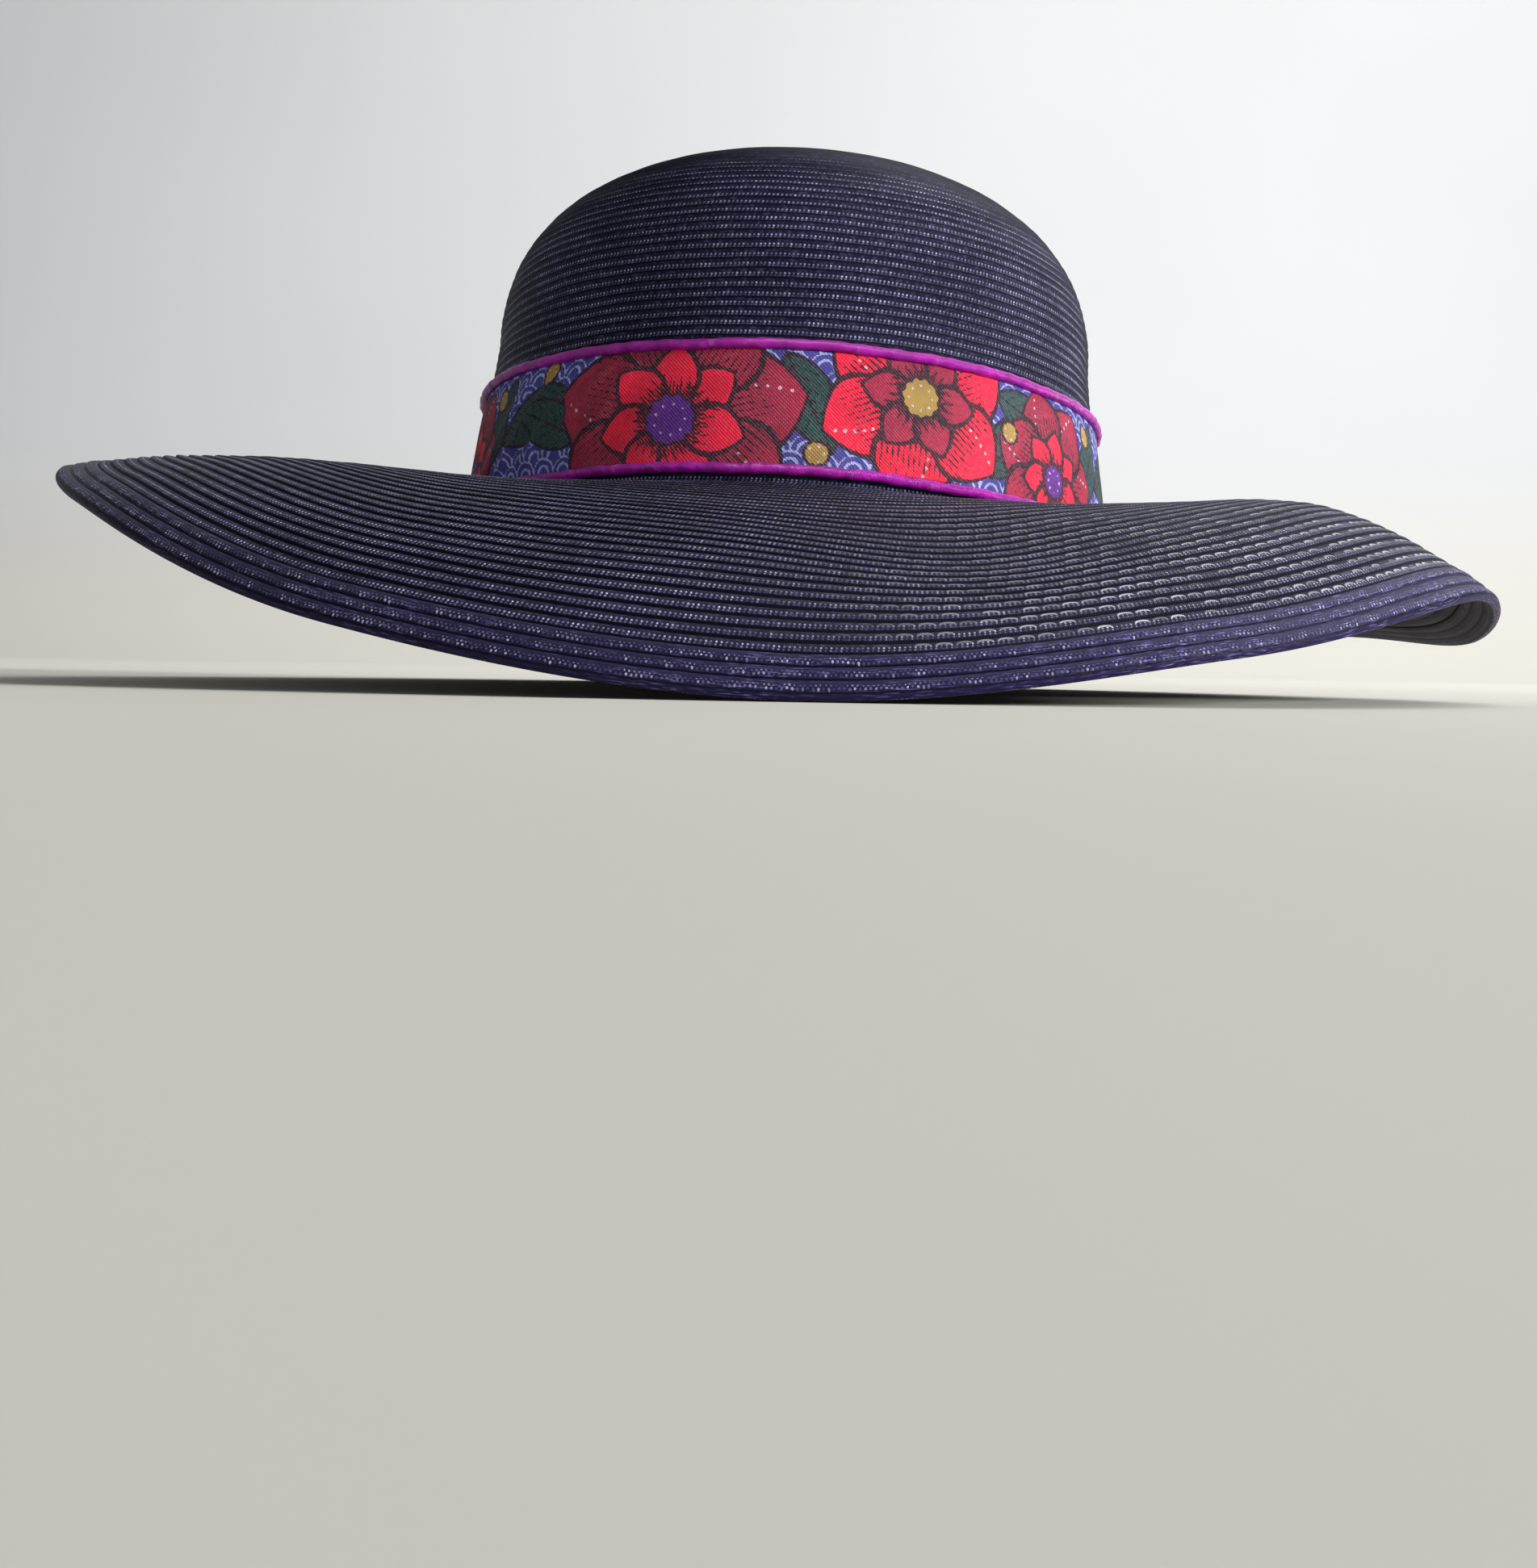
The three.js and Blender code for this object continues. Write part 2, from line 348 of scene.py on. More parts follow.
def make_mesh(name, points, closed, uvs, materials, inside_from=None):
    """Mesh object from a grid of points, with one UV for each corner of its faces.

    The second material is for the faces from station inside_from on.
    """
    faces = ring_faces(*points.shape[:2], closed)
    placed = put(points.reshape(-1, 3))
    placed[:, 2] = np.maximum(placed[:, 2], FLOOR_CLEARANCE)
    mesh = bpy.data.meshes.new(name)
    mesh.from_pydata(placed.tolist(), [], faces.tolist())
    layer = mesh.uv_layers.new(name="rows")
    layer.data.foreach_set("uv", uvs.astype(np.float32).ravel())
    for material in materials:
        mesh.materials.append(material)
    if inside_from:
        station = np.arange(len(faces)) % (len(faces) // len(points))
        mesh.polygons.foreach_set("material_index", (station >= inside_from).astype(np.int32))
    mesh.polygons.foreach_set("use_smooth", np.full(len(faces), True))
    mesh.update()
    return add_object(name, mesh)


def join_doubles(mesh):
    """Joins points that lie at one place, such as those of a pole."""
    work = bmesh.new()
    work.from_mesh(mesh)
    bmesh.ops.remove_doubles(work, verts=work.verts, dist=SAME_PLACE)
    work.to_mesh(mesh)
    work.free()
    mesh.update()


def ring_faces(columns, stations, closed):
    """Four-cornered faces of a grid that closes round its first axis, and its second if closed."""
    i = np.arange(columns)[:, None]
    j = np.arange(stations if closed else stations - 1)[None]
    k = (j + 1) % stations
    n = (i + 1) % columns
    corners = [i * stations + j, i * stations + k, n * stations + k, n * stations + j]
    return np.stack(np.broadcast_arrays(*corners), -1).reshape(-1, 4)


def corner_uvs(left, right, low, high):
    """UV of each face's four corners, from its two sides and its two ends."""
    corners = (left, low, left, high, right, high, right, low)
    return np.stack(np.broadcast_arrays(*corners), -1).reshape(-1, 2)


def row_uvs(columns, marks, rows, counts):
    """UV of each corner: steps of the plait along a row, and the row's number plus the share across.

    marks holds each station's place across, in rows, and each face takes the count of steps of
    the row that its middle lies in, so that the steps stay equally long all over.
    """
    i = np.arange(columns)[:, None]
    count = counts[np.clip(rows, 0, len(counts) - 1)]
    return corner_uvs(i / columns * count, (i + 1) / columns * count, marks[:-1], marks[1:])


def ring_steps(points):
    """Distance from each point to the next one round the first axis."""
    return np.linalg.norm(np.roll(points, -1, 0) - points, axis=-1)


def row_lengths(points, marks, rows):
    """Length round each row at its middle."""
    return np.interp(np.arange(rows) + ROW_MIDDLE, marks, ring_steps(points).sum(0))


def steps_per_row(lengths, bead):
    """Whole number of plait steps round each row, a multiple of four so that stitches close."""
    return np.maximum(4, 4 * np.round(lengths / bead / 4)).astype(int)


# Place across a row and height in it: tucked under the row before, then up to a firm edge
ROW_SECTION = ((0.03, -0.42), (0.2, 0.12), (0.48, 0.38), (0.78, 0.55), (0.95, 0.28))
CROWN_SECTION = ((0.03, -0.42), (0.22, 0.15), (0.62, 0.48), (0.93, 0.34))
UNDER_SECTION = ((0.08, -0.2), (0.4, 0.45), (0.8, 0.4))
EDGE_SECTION = ((0.03, -0.3), (0.14, 0.25), (0.34, 0.55), (0.58, 0.72), (0.8, 0.78), (0.93, 0.5))


def row_stations(count, section, last=None):
    """Station marks, relief and row numbers of count rows that share one section.

    last adds one more station, so far past the last row and at such a height.
    """
    share, relief = np.array(section).T
    row = np.repeat(np.arange(count), len(section))
    marks = row + np.tile(share, count)
    relief = np.tile(relief, count)
    if last:
        marks = np.append(marks, count + last[0])
        relief = np.append(relief, last[1])
        row = np.append(row, count - 1)
    return marks, relief, row


def row_wander(azimuth, marks):
    """Small unevenness of the rows, in rows, and of their height, as a share of it.

    Both are sums of sines of whole multiples of the azimuth, whose phase turns slowly from
    row to row.
    """
    a = np.radians(azimuth)[:, None]
    shift = 0.05 * np.sin(3 * a + 0.21 * marks) + 0.035 * np.sin(8 * a - 0.35 * marks)
    shift += 0.02 * np.sin(19 * a + 0.6 * marks)
    height = 1 + 0.16 * np.sin(5 * a + 1.1 * marks) + 0.12 * np.sin(13 * a - 1.9 * marks)
    return shift, height


class Nodes:
    """Short way to build a material's nodes and link them."""

    def __init__(self, name):
        self.material = bpy.data.materials.new(name)
        self.material.use_nodes = True
        self.tree = self.material.node_tree
        self.shader = self.tree.nodes["Principled BSDF"]

    def add(self, kind, inputs=(), **settings):
        """New node, with its settings made and its inputs fed."""
        node = self.tree.nodes.new(kind)
        for key, value in settings.items():
            setattr(node, key, value)
        for key, value in dict(inputs).items():
            self.feed(node.inputs[key], value)
        return node

    def feed(self, socket, value):
        """Links an output to a socket, or sets the socket's own value."""
        if isinstance(value, bpy.types.NodeSocket):
            self.tree.links.new(value, socket)
        else:
            socket.default_value = value

    def surface(self, values):
        """Feeds the shader's sockets, by their names."""
        for name, value in values.items():
            self.feed(self.shader.inputs[name], value)

    def math(self, operation, first, second=0.0, clamp=False):
        """One operation on one or two values."""
        return self.add("ShaderNodeMath", {0: first, 1: second}, operation=operation,
                        use_clamp=clamp).outputs[0]

    def plus(self, *values):
        """Sum of the values, taken in their order."""
        return reduce(partial(self.math, "ADD"), values)

    def times(self, *values):
        """Product of the values, taken in their order."""
        return reduce(partial(self.math, "MULTIPLY"), values)

    def minus(self, first, second):
        """First value less the second."""
        return self.math("SUBTRACT", first, second)

    def smooth(self, value, low, high, to_low=0.0, to_high=1.0):
        """Smooth step of a value from to_low at low to to_high at high."""
        return self.add("ShaderNodeMapRange", {
            "Value": value, "From Min": low, "From Max": high, "To Min": to_low,
            "To Max": to_high}, interpolation_type="SMOOTHSTEP").outputs[0]

    def mix(self, share, first, second):
        """Colour between two, by the share of the second."""
        return self.add("ShaderNodeMix", {0: share, 6: first, 7: second}, data_type="RGBA").outputs[2]

    def noise(self, vector, scale, detail=2.0):
        """Soft noise, mostly between 0.2 and 0.8."""
        return self.add("ShaderNodeTexNoise", {
            "Vector": vector, "Scale": scale, "Detail": detail}).outputs["Fac"]

    def part(self, vector, axis):
        """One coordinate of a vector, by the axis 0, 1 or 2."""
        return self.add("ShaderNodeSeparateXYZ", {0: vector}).outputs[axis]

    def stretched(self, vector, scale):
        """Vector with each coordinate multiplied by its scale."""
        return self.add("ShaderNodeMapping", {"Vector": vector, "Scale": scale}).outputs[0]

    def chance(self, along, row):
        """Random value from 0 to 1 for each whole step along each row."""
        cell = self.add("ShaderNodeCombineXYZ", {0: self.math("FLOOR", along), 1: row}).outputs[0]
        return self.add("ShaderNodeTexWhiteNoise", {"Vector": cell}, noise_dimensions="2D").outputs[0]

    def places(self):
        """UV of the rows, its two coordinates, and the place on the object."""
        uv = self.add("ShaderNodeUVMap", uv_map="rows").outputs[0]
        place = self.add("ShaderNodeTexCoord").outputs["Object"]
        return uv, self.part(uv, 0), self.part(uv, 1), place

    def bump(self, height, distance):
        """Relief of the surface, from a height in units of the distance."""
        node = self.add("ShaderNodeBump", {"Height": height, "Distance": distance, "Strength": 1.0})
        self.feed(self.shader.inputs["Normal"], node.outputs[0])


def rgba(colour, factor=1.0):
    """Colour times a factor, opaque."""
    return (colour[0] * factor, colour[1] * factor, colour[2] * factor, 1.0)


def bead_line(n, along, across, place, length, width, offset):
    """Mask of a line of beads: 1 at each step's middle on the line, 0 beyond length and width."""
    step = n.math("FRACT", n.plus(along, offset))
    x = n.math("DIVIDE", n.minus(step, 0.5), length)
    y = n.math("DIVIDE", n.minus(across, place), width)
    return n.smooth(n.plus(n.times(x, x), n.times(y, y)), 0.3, 1.0, 1.0, 0.0)


def straw_material(name, colour, bead_glint_colour, bead_share, stitch_share, rough):
    """Sewn braid: two lines of glossy beads near the row's outer side, a fine plait and stitches.

    Chance dims single beads, and the beads' pale colour is a painted highlight for the glints of the
    plait's glossy crossings.
    The dark gaps between rows are painted shade. A stitch is an arch of clear nylon over four steps of
    the plait, painted pale as a highlight, and stitches show on the +X side alone, where the main light
    falls and where noise and chance leave them.
    """
    n = Nodes(name)
    _, along, rows, place = n.places()
    across = n.math("FRACT", rows)
    row = n.math("FLOOR", rows)
    patches = n.smooth(n.noise(place, 46.0, 3.0), 0.35, 0.68)
    grain = n.noise(place, 900.0)
    shifted = n.plus(along, n.times(row, 0.37))
    wander = n.plus(across, n.times(n.minus(n.noise(place, 260.0, 1.0), 0.5), 0.08))
    upper = bead_line(n, shifted, wander, 0.56, 0.27, 0.12, 0.0)
    lower = bead_line(n, shifted, wander, 0.80, 0.27, 0.09, 0.12)
    lively = n.plus(n.times(n.math("POWER", n.chance(shifted, row), 2.0), 0.75), 0.25)
    # Patches of noise dim the beads' painted glints here and there.
    bead_patches = n.smooth(patches, 0.0, 1.0, 0.62, 1.0)
    beads = n.times(n.math("MAXIMUM", upper, n.times(lower, 0.42)), lively, bead_patches)
    fours = n.times(shifted, 0.25)
    quarter = n.math("FRACT", fours)
    arc = n.times(quarter, n.minus(1.0, quarter), 1.1)
    lift = n.math("ABSOLUTE", n.plus(n.minus(across, 0.58), arc))
    ends = n.smooth(n.math("ABSOLUTE", n.minus(quarter, 0.5)), 0.34, 0.42, 1.0, 0.0)
    # This mask rises towards +X, where the main light falls; the stitches' pale painted highlight shows
    # only there.
    side = n.smooth(n.part(place, 0), 0.0, 0.075)
    stitch_chance = n.smooth(n.chance(fours, row), 0.0, 0.75)
    stitch_patches = n.smooth(n.noise(place, 30.0), 0.28, 0.52)
    stitch_glint = n.times(n.smooth(lift, 0.075, 0.14, 1.0, 0.0), ends, side, stitch_chance, stitch_patches, stitch_share)
    plait = n.math("SINE", n.times(n.plus(along, n.times(across, 2.6)), 2 * TURN))
    # Painted shade: the gaps between rows, under each row's firm edge, are darkened nearly to black.
    groove_shade = n.times(n.smooth(across, 0.06, 0.22), n.smooth(across, 0.87, 0.95, 1.0, 0.0))
    shown = n.times(beads, bead_share)
    fleck = n.times(n.smooth(grain, 0.46, 0.72), bead_share * 0.30)
    base = n.mix(patches, rgba(colour, 0.8), rgba(colour, 1.25))
    base = n.mix(fleck, base, rgba(FLECK))
    base = n.mix(groove_shade, rgba(colour, 0.04), base)
    # Painted highlight: the beads take a pale colour that stands for the glints of the plait's glossy
    # crossings.
    base = n.mix(shown, base, rgba(bead_glint_colour))
    # Painted highlight: pale stitch colour standing for the shine of clear nylon on the lit side.
    base = n.mix(n.times(stitch_glint, 0.88), base, rgba(SEWING_THREAD_GLINT))
    gloss = n.math("MAXIMUM", shown, stitch_glint)
    n.surface({"Base Color": base, "Roughness": n.smooth(gloss, 0.0, 0.6, rough, 0.25),
               "Specular IOR Level": 0.14, "Specular Tint": (0.66, 0.68, 1.0, 1.0)})
    height = n.plus(n.times(beads, 0.9), n.times(plait, 0.14), n.times(stitch_glint, 0.9), n.times(grain, 0.45))
    n.bump(height, 0.25 * MM)
    return n.material


def underside_material(name, colours, rough):
    """Braid of the inside: duller, with fainter beads and no stitches."""
    return straw_material(name, colours.underside, colours.underside_bead_glint, 0.35, 0.0, rough)


def edge_material(colours):
    """Doubled rows at the rim: violet-blue straw with broken glossy strands and lines of beads. The rows
    are painted lighter and more violet towards +X, where the main light falls, the strands and beads are
    partly painted sheen and glints, and the gaps between rows are painted shade.
    """
    n = Nodes("edge_braid")
    uv, along, rows, place = n.places()
    across = n.math("FRACT", rows)
    row = n.math("FLOOR", rows)
    wobble = n.times(n.minus(n.noise(place, 330.0), 0.5), 0.42)
    shifted = n.plus(along, n.times(row, 0.41), wobble)
    wander = n.plus(across, wobble)
    line = bead_line(n, shifted, wander, 0.80, 0.32, 0.12, 0.0)
    second = bead_line(n, shifted, wander, 0.56, 0.28, 0.08, 0.5)
    # Painted light: this mask rises towards +X, where the main light falls; the rows are painted dark
    # navy towards -X and violet towards +X, and the strands brighten there.
    side = n.smooth(n.part(place, 0), -0.14, 0.08)
    strands = n.smooth(n.noise(n.stretched(uv, (0.28, 9.0, 1.0)), 1.0, 4.0), 0.50, 0.66)
    shine = n.smooth(n.noise(place, 60.0, 3.0), 0.38, 0.62, 0.15, 1.0)
    strand_sheen = n.times(strands, shine, n.plus(n.times(side, 0.6), 0.4))
    lively = n.plus(n.times(n.math("POWER", n.chance(shifted, row), 3.0), 0.6), 0.05)
    beads = n.times(n.math("MAXIMUM", line, n.times(second, 0.7)), lively)
    # Painted shade: the gaps between rows are darkened.
    groove_shade = n.times(n.smooth(across, 0.0, 0.14), n.smooth(across, 0.93, 1.0, 1.0, 0.0))
    base = n.mix(side, rgba(colours.straw, 0.9), rgba(colours.edge))
    # Painted sheen: bright violet strands, partly the straw's own strands and partly painted shine.
    base = n.mix(strand_sheen, base, rgba(EDGE_STRAND_SHEEN))
    base = n.mix(groove_shade, rgba(colours.straw, 0.10), base)
    # Painted highlight: pale beads stand for glints of the glossy crossings.
    base = n.mix(beads, base, rgba(EDGE_BEAD_GLINT))
    gloss = n.math("MAXIMUM", beads, strand_sheen)
    n.surface({"Base Color": base, "Roughness": n.smooth(gloss, 0, 1, 0.5, 0.24),
               "Specular IOR Level": 0.16, "Specular Tint": (0.75, 0.72, 1.0, 1.0)})
    height = n.plus(n.times(beads, 0.9), n.times(strand_sheen, 0.8), n.times(n.noise(place, 900.0), 0.5))
    n.bump(height, 0.28 * MM)
    return n.material


def cord_material(colours):
    """Satin twill over a cord: fine slanting threads and soft wrinkles, with painted shade in the
    wrinkles' troughs and a painted highlight on their crests.
    """
    n = Nodes("piping_cloth")
    uv, along, turned, place = n.places()
    threads = n.math("SINE", n.times(n.plus(n.times(along, 2.2), n.times(turned, 9.0)), TURN))
    wear = n.smooth(n.noise(place, 160.0, 3.0), 0.3, 0.7)
    wrinkle = n.noise(n.stretched(uv, (0.33, 2.0, 1.0)), 1.0, 3.0)
    base = n.mix(wear, rgba(colours.cord, 0.78), rgba(colours.cord, 1.2))
    base = n.mix(n.smooth(threads, -1.0, 1.0, 0.0, 0.22), base, rgba(colours.cord, 0.35))
    # Painted shade in the wrinkles' troughs, and on the next line a painted highlight on their crests.
    base = n.mix(n.smooth(wrinkle, 0.28, 0.45, 0.5, 0.0), base, rgba(colours.cord, 0.3))
    base = n.mix(n.smooth(wrinkle, 0.56, 0.72, 0.0, 0.22), base, rgba(CORD_SHINE))
    n.surface({"Base Color": base, "Roughness": 0.34, "Specular IOR Level": 0.5})
    n.bump(n.plus(n.times(threads, 0.25), n.times(wrinkle, 4.0)), 0.20 * MM)
    return n.material


def print_material():
    """Printed twill: fields on the cloth give the colours and the crisp lines, dots and arcs."""
    n = Nodes("band_cloth")
    _, across, up, place = n.places()
    twill = n.math("SINE", n.times(n.plus(across, up), TURN / 0.92))
    weft = n.math("SINE", n.times(across, TURN / 0.31))
    fade = n.smooth(n.noise(place, 60.0, 3.0), 0.3, 0.72)
    frayed = n.times(n.minus(n.noise(place, 700.0, 3.0), 0.5), 0.7)
    wobble = n.plus(frayed, n.times(twill, 0.05))
    base = n.add("ShaderNodeAttribute", attribute_name="paint").outputs["Color"]
    for name, share, ink in (
            ("arcs", 0.9, PALE_INK), ("dots", 0.85, WHITE_INK), ("line", 0.96, BLACK_INK)):
        field = n.add("ShaderNodeAttribute", attribute_name=name).outputs["Fac"]
        mask = n.smooth(n.plus(field, wobble), -0.09, 0.09, 1.0, 0.0)
        base = n.mix(n.times(mask, share), base, rgba(ink))
    speck = n.smooth(n.noise(place, 1300.0), 0.35, 0.65, -0.06, 0.10)
    lit = n.plus(n.times(twill, 0.12), n.times(fade, 0.05))
    base = n.mix(n.math("ADD", lit, speck, clamp=True), base, rgba(LIT_THREAD))
    blotch = n.smooth(n.noise(place, 130.0, 3.0), 0.36, 0.62, 0.22, 0.0)
    base = n.mix(blotch, base, rgba(BLOTCH))
    n.surface({"Base Color": base, "Roughness": 0.72, "Specular IOR Level": 0.25})
    n.bump(n.plus(twill, n.times(weft, 0.4)), 0.035 * MM)
    return n.material


def petal_field(along_cloth, up, heading, length, width, fullness):
    """Signed distance of a petal, less than 0 inside, in millimetres.

    Along its own axis the half width is width times the sine of a half turn taken over the
    length, with the share of the length raised to fullness.
    """
    c, s = math.cos(math.radians(heading)), math.sin(math.radians(heading))
    along = along_cloth * c + up * s
    aside = -along_cloth * s + up * c
    share = np.clip(along / length, 0, 1)
    half = width * np.sin(math.pi * share ** fullness)
    half = width * (half / width) ** 0.8
    inside = np.abs(aside) - half
    beyond = np.maximum(-along, along - length)
    field = np.where(beyond > 0, np.hypot(beyond, np.abs(aside)), inside * 0.86)
    return field, along, aside


class Cloth:
    """Print of the band, built up in layers: colours, black lines, white dots and pale arcs."""

    def __init__(self, u, h, repeat, ground):
        self.repeat = repeat
        self.u = u
        self.h = h
        self.paint = np.ones(u.shape + (3,)) * np.array(ground)
        self.line = np.full(u.shape, FAR)
        self.dots = np.full(u.shape, FAR)
        self.arcs = self.scallops()

    def wrapped(self, centre):
        """Distance along and up the cloth from a centre, the short way round the repeat."""
        along = (self.u - centre[0] + self.repeat / 2) % self.repeat - self.repeat / 2
        return along, self.h - centre[1]

    def scallops(self):
        """Pale arcs: two nested half rings in each cell, cells in staggered rows like scales."""
        wide, high = self.repeat / 26, 4.1
        row = np.floor(self.h / high)
        field = np.full(self.u.shape, FAR)
        for step in (0, 1, 2):
            base = (row - step + 1) * high
            shift = ((row - step) % 2) * wide / 2
            x = (self.u - shift + wide / 2) % wide - wide / 2
            r = np.hypot(x, self.h - base + high)
            ring = np.minimum(np.abs(r - wide * 0.52), np.abs(r - wide * 0.27))
            field = np.where(r < wide * 0.56, ring, field)
        return field - 0.34

    def fill(self, field, colour, outline, strokes=None):
        """Lays a colour where the field is below 0, with a black outline and inner strokes."""
        inside = field < 0
        self.paint[inside] = colour if np.ndim(colour) == 1 else colour[inside]
        inner = FAR if strokes is None else strokes
        self.line = np.minimum(np.abs(field) - outline, np.where(inside, inner, self.line))
        self.arcs = np.where(inside, np.maximum(self.arcs, FAR), self.arcs)
        self.arcs = np.maximum(self.arcs, 0.4 - field)
        self.dots = np.where(inside, FAR, self.dots)

    def petal(self, centre, heading, length, width, fullness, colour, outline, strokes, dotted):
        """Petal with a shaded foot, a comb of strokes over a share of it and a curved row of dots."""
        along_cloth, up = self.wrapped(centre)
        field, along, aside = petal_field(along_cloth, up, heading, length, width, fullness)
        share = np.clip(along / length, 0, 1)
        shade = np.clip(1.1 - 0.5 * (1 - share) ** 2, 0.4, 1.1)
        step = 0.35 + width * 0.10
        turned = np.abs((aside / step + 100.5) % 1 - 0.5) * step
        ends = along - length * strokes - 1.6 * np.sin(aside * 2.9)
        comb = np.maximum(turned - 0.36 * np.clip(1.3 - 1.2 * share, 0, 1), ends)
        self.fill(field, np.array(colour) * shade[..., None], outline, comb)
        for place in np.linspace(0.40, 0.90, dotted):
            curve = 0.35 * width * math.sin(math.pi * place)
            self.dots = np.minimum(self.dots, np.hypot(along - place * length, aside - curve) - 0.44)

    def leaf(self, centre, heading, length, width, colour):
        """Leaf with a rib along its middle and slanting veins on both sides."""
        along_cloth, up = self.wrapped(centre)
        field, along, aside = petal_field(along_cloth, up, heading, length, width, 0.9)
        rib = np.abs(aside) - 0.28
        slant = (along - np.abs(aside) * 1.1) / 3.1
        veins = np.abs(slant - np.round(slant)) * 3.1 * 0.7 - 0.2
        veins = np.maximum(veins, np.abs(aside) - 0.72 * width)
        self.fill(field, np.array(colour), 0.34, np.minimum(rib, veins))

    def disc(self, centre, radius, colour, ringed):
        """Disc with a wavy outline and a ring of dots."""
        along_cloth, up = self.wrapped(centre)
        r = np.hypot(along_cloth, up)
        angle = np.arctan2(up, along_cloth)
        self.fill(r - radius * (1 + 0.05 * np.sin(angle * 11)), np.array(colour), 0.36)
        turn = angle / TURN * ringed
        spot = np.hypot((turn - np.round(turn)) * TURN / ringed * r, r - radius * 0.62)
        self.dots = np.minimum(self.dots, spot - 0.36)


def blossom(cloth, centre, size, petals, turn, outer, inner, heart, heart_dots):
    """Round blossom: a ring of broad petals, a ring of short ones on it and a dotted heart."""
    for k in range(petals):
        heading = turn + 360 / petals * k
        cloth.petal(centre, heading, size, size * 0.40, 1.35, outer, 0.62, 0.74, 7)
    for k in range(petals):
        heading = turn + 360 / petals * (k + 0.5)
        cloth.petal(centre, heading, size * 0.57, size * 0.19, 1.2, inner, 0.60, 0.52, 0)
    cloth.disc(centre, size * 0.19, heart, heart_dots)


def band_print(u, h, repeat, colours):
    """Layout of one repeat, in millimetres from the front: blossoms, leaves, buds and arcs."""
    cloth = Cloth(u, h, repeat, colours.ground)
    for centre, heading, length, width in (
            ((-60, 21), 202, 29, 6.5), ((-54, 8), 158, 26, 6.0), ((-2, 28), -64, 27, 6.5),
            ((48, 4), 40, 28, 6.5), ((54, 25), -20, 24, 5.5), ((-97, 4), 65, 26, 6)):
        cloth.leaf(centre, heading, length, width, colours.leaf)
    blossom(cloth, (-29, 11), 33, 7, 12, colours.wine, colours.red, colours.violet, 9)
    blossom(cloth, (31, 20), 26, 6, 24, colours.red, colours.wine, colours.gold, 8)
    blossom(cloth, (76, 7), 23, 7, 5, colours.wine, colours.red, colours.violet, 8)
    for centre, radius in (((-68, 26), 3.2), ((6, 3.5), 3.0), ((58, 16), 2.8), ((97, 23), 3.0)):
        cloth.disc(centre, radius, colours.gold, 5)
    return cloth


class HATKIT_OT_crown(bpy.types.Operator):
    """Make the crown from rings of sewn braid"""

    bl_idname = "hatkit.crown"
    bl_label = "Crown"

    def execute(self, context):
        sizes = context.scene.hat_sizes
        colours = context.scene.hat_colours
        columns = sizes.crown_columns
        azimuth = np.arange(columns) / columns * 360
        _, length = crown_surface(azimuth[:1], np.array([0.0, 1.0]), 0)
        rows = int(round(length / sizes.crown_pitch))
        marks, relief, row = row_stations(rows, CROWN_SECTION, (0, 0.3))
        # Rows count from the top, so that each row's firm edge points down
        shift, uneven = row_wander(azimuth, marks)
        ease = np.clip(np.minimum(marks, rows - marks) / 4, 0, 1)
        outer, _ = crown_surface(azimuth, np.clip(1 - (marks + shift * ease) / rows, 0, 1), 0)
        outer = lifted(outer, -relief * uneven * sizes.row_rise)
        inner_marks = np.linspace(rows, 0.02, INSIDE_STATIONS)
        inner, _ = crown_surface(azimuth, 1 - inner_marks / rows, STRAW)
        points = np.concatenate([outer, inner], 1)
        counts = steps_per_row(row_lengths(outer, marks, rows), sizes.crown_bead)
        all_marks = np.concatenate([marks, inner_marks])
        number = np.concatenate([row, np.clip(np.floor(inner_marks - 0.01), 0, rows - 1).astype(int)])
        uvs = row_uvs(columns, all_marks, number[:-1], counts)
        top = straw_material("straw_braid", colours.straw, colours.bead, 1.0, 0.0, 0.5)
        under = underside_material("straw_inside", colours, 0.62)
        # Each pole is one point, so that the dome is closed on both sides
        for pole in (0, -1):
            points[:, pole] = points[:, pole].mean(0)
        piece = make_mesh("crown_braid", points, False, uvs, (top, under), len(marks))
        join_doubles(piece.data)
        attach(piece, "root")
        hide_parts("crown")
        return {"FINISHED"}


class HATKIT_OT_brim(bpy.types.Operator):
    """Make the brim from rings of sewn braid"""

    bl_idname = "hatkit.brim"
    bl_label = "Brim"

    def execute(self, context):
        sizes = context.scene.hat_sizes
        colours = context.scene.hat_colours
        columns = sizes.brim_columns
        azimuth = np.arange(columns) / columns * 360
        width = BRIM_WIDTH - EDGE_WIDTH
        rows = int(round(width / sizes.brim_pitch))
        marks, relief, row = row_stations(rows, ROW_SECTION, (0.14, -0.5))
        shift, uneven = row_wander(azimuth, marks)
        ease = np.clip(np.minimum(marks, rows - marks) / 3, 0, 1)
        top = brim_surface(azimuth, (marks + shift * ease) / rows * width)
        top = lifted(top, relief * uneven * sizes.row_rise)
        low_marks, low_relief, low_row = row_stations(rows, UNDER_SECTION, (0.14, -0.3))
        low = brim_surface(azimuth, low_marks / rows * width)
        low = lifted(low, -(STRAW + low_relief * 0.6 * MM))[:, ::-1]
        collar = brim_surface(azimuth, np.array([-1.6 * MM]))
        below = collar + np.array([0, 0, -STRAW])
        points = np.concatenate([top, low, below, collar], 1)
        all_marks = np.concatenate([marks, low_marks[::-1], [0.0, 0.0, marks[0]]])
        number = np.concatenate([row, low_row[::-1], [0, 0]])
        counts = steps_per_row(row_lengths(top, marks, rows), sizes.bead)
        uvs = row_uvs(columns, all_marks, number, counts)
        upper = straw_material("straw_brim", colours.straw, colours.bead, 1.0, 1.0, 0.52)
        under = underside_material("straw_under", colours, 0.6)
        piece = make_mesh("brim_braid", points, True, uvs, (upper, under), len(marks) - 1)
        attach(piece, "root")
        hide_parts("brim")
        return {"FINISHED"}


